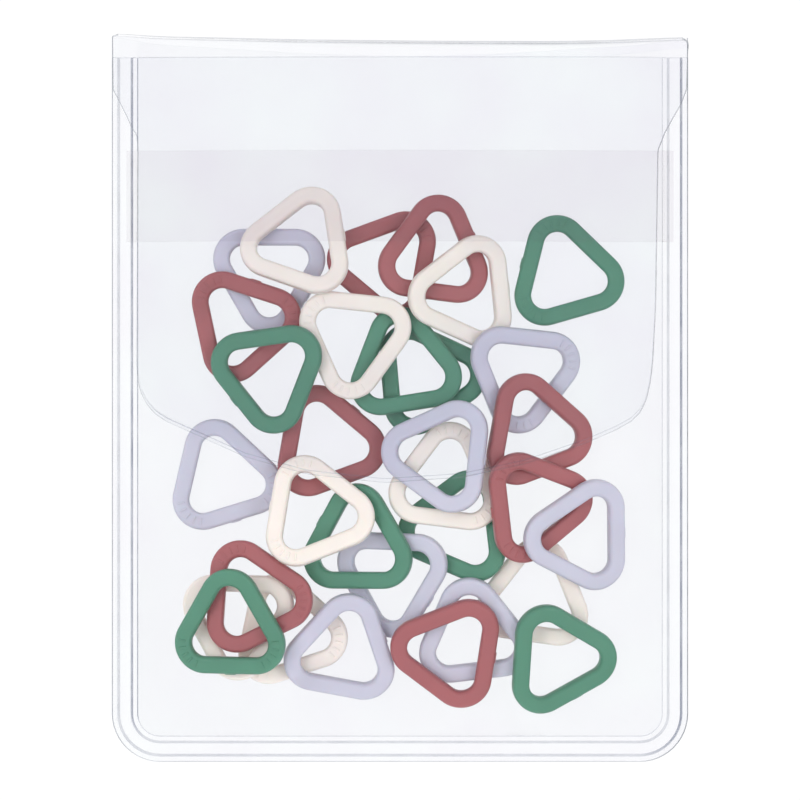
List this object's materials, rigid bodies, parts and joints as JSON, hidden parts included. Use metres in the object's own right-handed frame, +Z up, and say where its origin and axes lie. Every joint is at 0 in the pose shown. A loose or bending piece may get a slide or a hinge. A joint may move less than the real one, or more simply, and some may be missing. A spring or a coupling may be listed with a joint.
{
  "type": "stitch marker set in a pouch",
  "caption": "Clear vinyl pouch with a tuck-in flap and a strap, lying flat, that holds loose triangular ring stitch markers in four muted colours.",
  "frame": {"origin": "on the surface that the pouch lies on, under the middle of its outline", "axes": "+X to the pouch's right as seen from above, +Y toward the fold of the flap, +Z up through the front panel"},
  "size_m": [0.075, 0.095, 0.0098],
  "materials": {
    "clear_film": "clear flexible vinyl film, glossy",
    "cream_plastic": "injection moulded, satin",
    "lavender_plastic": "injection moulded, satin",
    "rose_plastic": "injection moulded, satin",
    "green_plastic": "injection moulded, satin"
  },
  "bodies": {
    "pouch": {"back_panel": "clear_film", "front_panel": "clear_film", "strap": "clear_film"},
    "flap": {"tuck_flap": "clear_film"},
    "cream_marker_1": {"cream_marker_1": "cream_plastic"},
    "cream_marker_2": {"cream_marker_2": "cream_plastic"},
    "cream_marker_3": {"cream_marker_3": "cream_plastic"},
    "cream_marker_4": {"cream_marker_4": "cream_plastic"},
    "cream_marker_5": {"cream_marker_5": "cream_plastic"},
    "cream_marker_6": {"cream_marker_6": "cream_plastic"},
    "cream_marker_7": {"cream_marker_7": "cream_plastic"},
    "cream_marker_8": {"cream_marker_8": "cream_plastic"},
    "lavender_marker_1": {"lavender_marker_1": "lavender_plastic"},
    "lavender_marker_2": {"lavender_marker_2": "lavender_plastic"},
    "lavender_marker_3": {"lavender_marker_3": "lavender_plastic"},
    "lavender_marker_4": {"lavender_marker_4": "lavender_plastic"},
    "lavender_marker_5": {"lavender_marker_5": "lavender_plastic"},
    "lavender_marker_6": {"lavender_marker_6": "lavender_plastic"},
    "lavender_marker_7": {"lavender_marker_7": "lavender_plastic"},
    "lavender_marker_8": {"lavender_marker_8": "lavender_plastic"},
    "rose_marker_1": {"rose_marker_1": "rose_plastic"},
    "rose_marker_2": {"rose_marker_2": "rose_plastic"},
    "rose_marker_3": {"rose_marker_3": "rose_plastic"},
    "rose_marker_4": {"rose_marker_4": "rose_plastic"},
    "rose_marker_5": {"rose_marker_5": "rose_plastic"},
    "rose_marker_6": {"rose_marker_6": "rose_plastic"},
    "rose_marker_7": {"rose_marker_7": "rose_plastic"},
    "rose_marker_8": {"rose_marker_8": "rose_plastic"},
    "green_marker_1": {"green_marker_1": "green_plastic"},
    "green_marker_2": {"green_marker_2": "green_plastic"},
    "green_marker_3": {"green_marker_3": "green_plastic"},
    "green_marker_4": {"green_marker_4": "green_plastic"},
    "green_marker_5": {"green_marker_5": "green_plastic"},
    "green_marker_6": {"green_marker_6": "green_plastic"},
    "green_marker_7": {"green_marker_7": "green_plastic"},
    "green_marker_8": {"green_marker_8": "green_plastic"}
  },
  "joints": [
    {"name": "flap_hinge", "type": "hinge", "parent": "pouch", "child": "flap", "pos_m": [0, 0.04735, 0.00265], "axis": [-1, 0, 0], "range_deg": [0, 135]},
    {"name": "cream_marker_1_slide", "type": "slide", "parent": "pouch", "child": "cream_marker_1", "axis": [0.952, 0.3063, 0], "range_m": [-0.0015, 0.0015]},
    {"name": "cream_marker_2_slide", "type": "slide", "parent": "pouch", "child": "cream_marker_2", "axis": [-0.1672, -0.9859, 0], "range_m": [-0.0004, 0.0002]},
    {"name": "cream_marker_3_slide", "type": "slide", "parent": "pouch", "child": "cream_marker_3", "axis": [1, 0, 0], "range_m": [-0.0007, 0.0002]},
    {"name": "cream_marker_4_slide", "type": "slide", "parent": "pouch", "child": "cream_marker_4", "axis": [0.8965, 0.4431, 0], "range_m": [-0.0015, 0.0008]},
    {"name": "cream_marker_5_slide", "type": "slide", "parent": "pouch", "child": "cream_marker_5", "axis": [1, 0, 0], "range_m": [-0.0005, 0.0002]},
    {"name": "cream_marker_6_slide", "type": "slide", "parent": "pouch", "child": "cream_marker_6", "axis": [1, 0, 0], "range_m": [-0.0015, 0.0004]},
    {"name": "cream_marker_7_slide", "type": "slide", "parent": "pouch", "child": "cream_marker_7", "axis": [0.1109, 0.9938, 0], "range_m": [-0.0015, 0.0015]},
    {"name": "cream_marker_8_slide", "type": "slide", "parent": "pouch", "child": "cream_marker_8", "axis": [1, 0, 0], "range_m": [-0.0009, 0.0015]},
    {"name": "lavender_marker_1_slide", "type": "slide", "parent": "pouch", "child": "lavender_marker_1", "axis": [1, 0, 0], "range_m": [-0.0015, 0.0001]},
    {"name": "lavender_marker_2_slide", "type": "slide", "parent": "pouch", "child": "lavender_marker_2", "axis": [-0.5757, -0.8177, 0], "range_m": [-0.0015, 0.0015]},
    {"name": "lavender_marker_3_slide", "type": "slide", "parent": "pouch", "child": "lavender_marker_3", "axis": [0.0911, 0.9958, 0], "range_m": [-0.0013, 0.0015]},
    {"name": "lavender_marker_4_slide", "type": "slide", "parent": "pouch", "child": "lavender_marker_4", "axis": [1, 0, 0], "range_m": [-0.0015, 0.001]},
    {"name": "lavender_marker_5_slide", "type": "slide", "parent": "pouch", "child": "lavender_marker_5", "axis": [-0.4956, -0.8686, 0], "range_m": [-0.0015, 0.0005]},
    {"name": "lavender_marker_6_slide", "type": "slide", "parent": "pouch", "child": "lavender_marker_6", "axis": [-0.4791, 0.8778, 0], "range_m": [-0.0003, 0.0013]},
    {"name": "lavender_marker_7_slide", "type": "slide", "parent": "pouch", "child": "lavender_marker_7", "axis": [-0.951, -0.3093, 0], "range_m": [-0.0004, 0.0011]},
    {"name": "lavender_marker_8_slide", "type": "slide", "parent": "pouch", "child": "lavender_marker_8", "axis": [-0.9916, 0.1292, 0], "range_m": [-0.0005, 0.0006]},
    {"name": "rose_marker_1_slide", "type": "slide", "parent": "pouch", "child": "rose_marker_1", "axis": [1, 0, 0], "range_m": [-0.0015, 0.0015]},
    {"name": "rose_marker_2_slide", "type": "slide", "parent": "pouch", "child": "rose_marker_2", "axis": [1, 0, 0], "range_m": [-0.0001, 0.0009]},
    {"name": "rose_marker_3_slide", "type": "slide", "parent": "pouch", "child": "rose_marker_3", "axis": [0.0774, -0.997, 0], "range_m": [-0.0007, 0.0007]},
    {"name": "rose_marker_4_slide", "type": "slide", "parent": "pouch", "child": "rose_marker_4", "axis": [0.1418, -0.9899, 0], "range_m": [-0.0004, 0.0004]},
    {"name": "rose_marker_5_slide", "type": "slide", "parent": "pouch", "child": "rose_marker_5", "axis": [-0.1186, -0.9929, 0], "range_m": [-0.0012, 0.0003]},
    {"name": "rose_marker_6_slide", "type": "slide", "parent": "pouch", "child": "rose_marker_6", "axis": [-0.4956, -0.8686, 0], "range_m": [-0.0015, 0.0013]},
    {"name": "rose_marker_7_slide", "type": "slide", "parent": "pouch", "child": "rose_marker_7", "axis": [0.1109, 0.9938, 0], "range_m": [-0.0004, 0.0007]},
    {"name": "rose_marker_8_slide", "type": "slide", "parent": "pouch", "child": "rose_marker_8", "axis": [-0.9979, -0.065, 0], "range_m": [-0.0012, 0.0005]},
    {"name": "green_marker_1_slide", "type": "slide", "parent": "pouch", "child": "green_marker_1", "axis": [1, 0, 0], "range_m": [-0.0005, 0.0015]},
    {"name": "green_marker_2_slide", "type": "slide", "parent": "pouch", "child": "green_marker_2", "axis": [-0.7097, 0.7045, 0], "range_m": [-0.0007, 0.0015]},
    {"name": "green_marker_3_slide", "type": "slide", "parent": "pouch", "child": "green_marker_3", "axis": [1, 0, 0], "range_m": [-0.0004, 0.0003]},
    {"name": "green_marker_4_slide", "type": "slide", "parent": "pouch", "child": "green_marker_4", "axis": [1, 0, 0], "range_m": [-0.0009, 0.0013]},
    {"name": "green_marker_5_slide", "type": "slide", "parent": "pouch", "child": "green_marker_5", "axis": [-0.2459, 0.9693, 0], "range_m": [-0.0006, 0.0004]},
    {"name": "green_marker_6_slide", "type": "slide", "parent": "pouch", "child": "green_marker_6", "axis": [0.7698, 0.6383, 0], "range_m": [-0.0008, 0.0015]},
    {"name": "green_marker_7_slide", "type": "slide", "parent": "pouch", "child": "green_marker_7", "axis": [-0.5085, 0.8611, 0], "range_m": [-0.0009, 0.0002]},
    {"name": "green_marker_8_slide", "type": "slide", "parent": "pouch", "child": "green_marker_8", "axis": [-0.7659, -0.643, 0], "range_m": [-0.0005, 0.001]}
  ]
}
